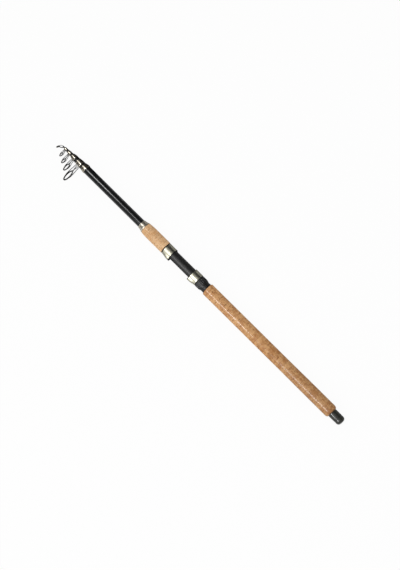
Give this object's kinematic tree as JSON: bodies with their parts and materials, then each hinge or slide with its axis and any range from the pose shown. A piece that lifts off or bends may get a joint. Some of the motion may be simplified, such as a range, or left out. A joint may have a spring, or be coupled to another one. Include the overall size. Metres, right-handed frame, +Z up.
{
  "type": "telescopic fishing rod",
  "caption": "Telescopic spinning rod, closed and lying on its side, with nested sections, ring guides, a screw-down reel seat, cork grips and a screw butt cap.",
  "frame": {"origin": "on the floor below the middle of the closed rod's outline, which lies on its side on its cork grip and its largest guide", "axes": "+X along the rod from the butt to the tip, +Y the side of the guides and of the reel, +Z up from the floor"},
  "size_m": [0.8343, 0.064, 0.0284],
  "materials": {
    "cork": "sanded cork, satin",
    "blank_gloss": "black high gloss",
    "seat_black": "black satin",
    "rubber_black": "matt",
    "champagne_metal": "pale champagne anodised, satin",
    "collar_metal": "warm silver, polished",
    "ceramic_black": "black ceramic, polished",
    "cap_gloss": "black gloss"
  },
  "bodies": {
    "butt_section": {"butt_blank": "blank_gloss", "butt_collar": "collar_metal", "winding_check": "collar_metal", "fore_grip": "cork", "front_trim_ring": "rubber_black", "reel_seat_barrel": "seat_black", "fixed_hood": "champagne_metal", "fixed_hood_liner": "seat_black", "rear_trim_ring": "rubber_black", "rear_grip": "cork", "butt_ferrule": "cap_gloss"},
    "butt_pad": {"butt_pad": "rubber_black"},
    "butt_cap": {"butt_cap": "cap_gloss"},
    "sliding_hood": {"sliding_hood": "champagne_metal", "sliding_hood_liner": "seat_black"},
    "lock_nut": {"lock_nut": "seat_black"},
    "section_2": {"section_2_tube": "blank_gloss", "section_2_stop": "rubber_black", "guide_2_frame": "collar_metal", "guide_2_ring": "ceramic_black"},
    "section_3": {"section_3_tube": "blank_gloss", "section_3_stop": "rubber_black", "guide_3_frame": "collar_metal", "guide_3_ring": "ceramic_black"},
    "section_4": {"section_4_tube": "blank_gloss", "section_4_stop": "rubber_black", "guide_4_frame": "collar_metal", "guide_4_ring": "ceramic_black"},
    "section_5": {"section_5_tube": "blank_gloss", "section_5_stop": "rubber_black", "guide_5_frame": "collar_metal", "guide_5_ring": "ceramic_black"},
    "tip_section": {"tip_rod": "blank_gloss", "tip_top_frame": "collar_metal", "tip_top_ring": "ceramic_black"}
  },
  "joints": [
    {"name": "section_2_slide", "type": "slide", "parent": "butt_section", "child": "section_2", "axis": [1, 0, 0], "range_m": [0, 0.612]},
    {"name": "section_3_slide", "type": "slide", "parent": "section_2", "child": "section_3", "axis": [1, 0, 0], "range_m": [0, 0.6352]},
    {"name": "section_4_slide", "type": "slide", "parent": "section_3", "child": "section_4", "axis": [1, 0, 0], "range_m": [0, 0.6514]},
    {"name": "section_5_slide", "type": "slide", "parent": "section_4", "child": "section_5", "axis": [1, 0, 0], "range_m": [0, 0.664]},
    {"name": "tip_section_slide", "type": "slide", "parent": "section_5", "child": "tip_section", "axis": [1, 0, 0], "range_m": [0, 0.6748]},
    {"name": "hood_slide", "type": "slide", "parent": "butt_section", "child": "sliding_hood", "axis": [1, 0, 0], "range_m": [-0.004, 0.017]},
    {"name": "lock_nut_turn", "type": "hinge", "parent": "sliding_hood", "child": "lock_nut", "pos_m": [0, -0.01775, 0.01421], "axis": [1, 0, 0], "range_deg": [-720, 3060]},
    {"name": "cap_slide", "type": "slide", "parent": "butt_section", "child": "butt_pad", "axis": [-1, 0, 0], "range_m": [0, 0.008]},
    {"name": "butt_cap_turn", "type": "hinge", "parent": "butt_pad", "child": "butt_cap", "pos_m": [0, -0.01775, 0.01421], "axis": [-1, 0, 0], "range_deg": [0, 1440]}
  ],
  "couplings": [
    {"joint": "hood_slide", "follows": "lock_nut_turn", "m_per_rad": 0.00031831},
    {"joint": "cap_slide", "follows": "butt_cap_turn", "m_per_rad": 0.00031831}
  ]
}
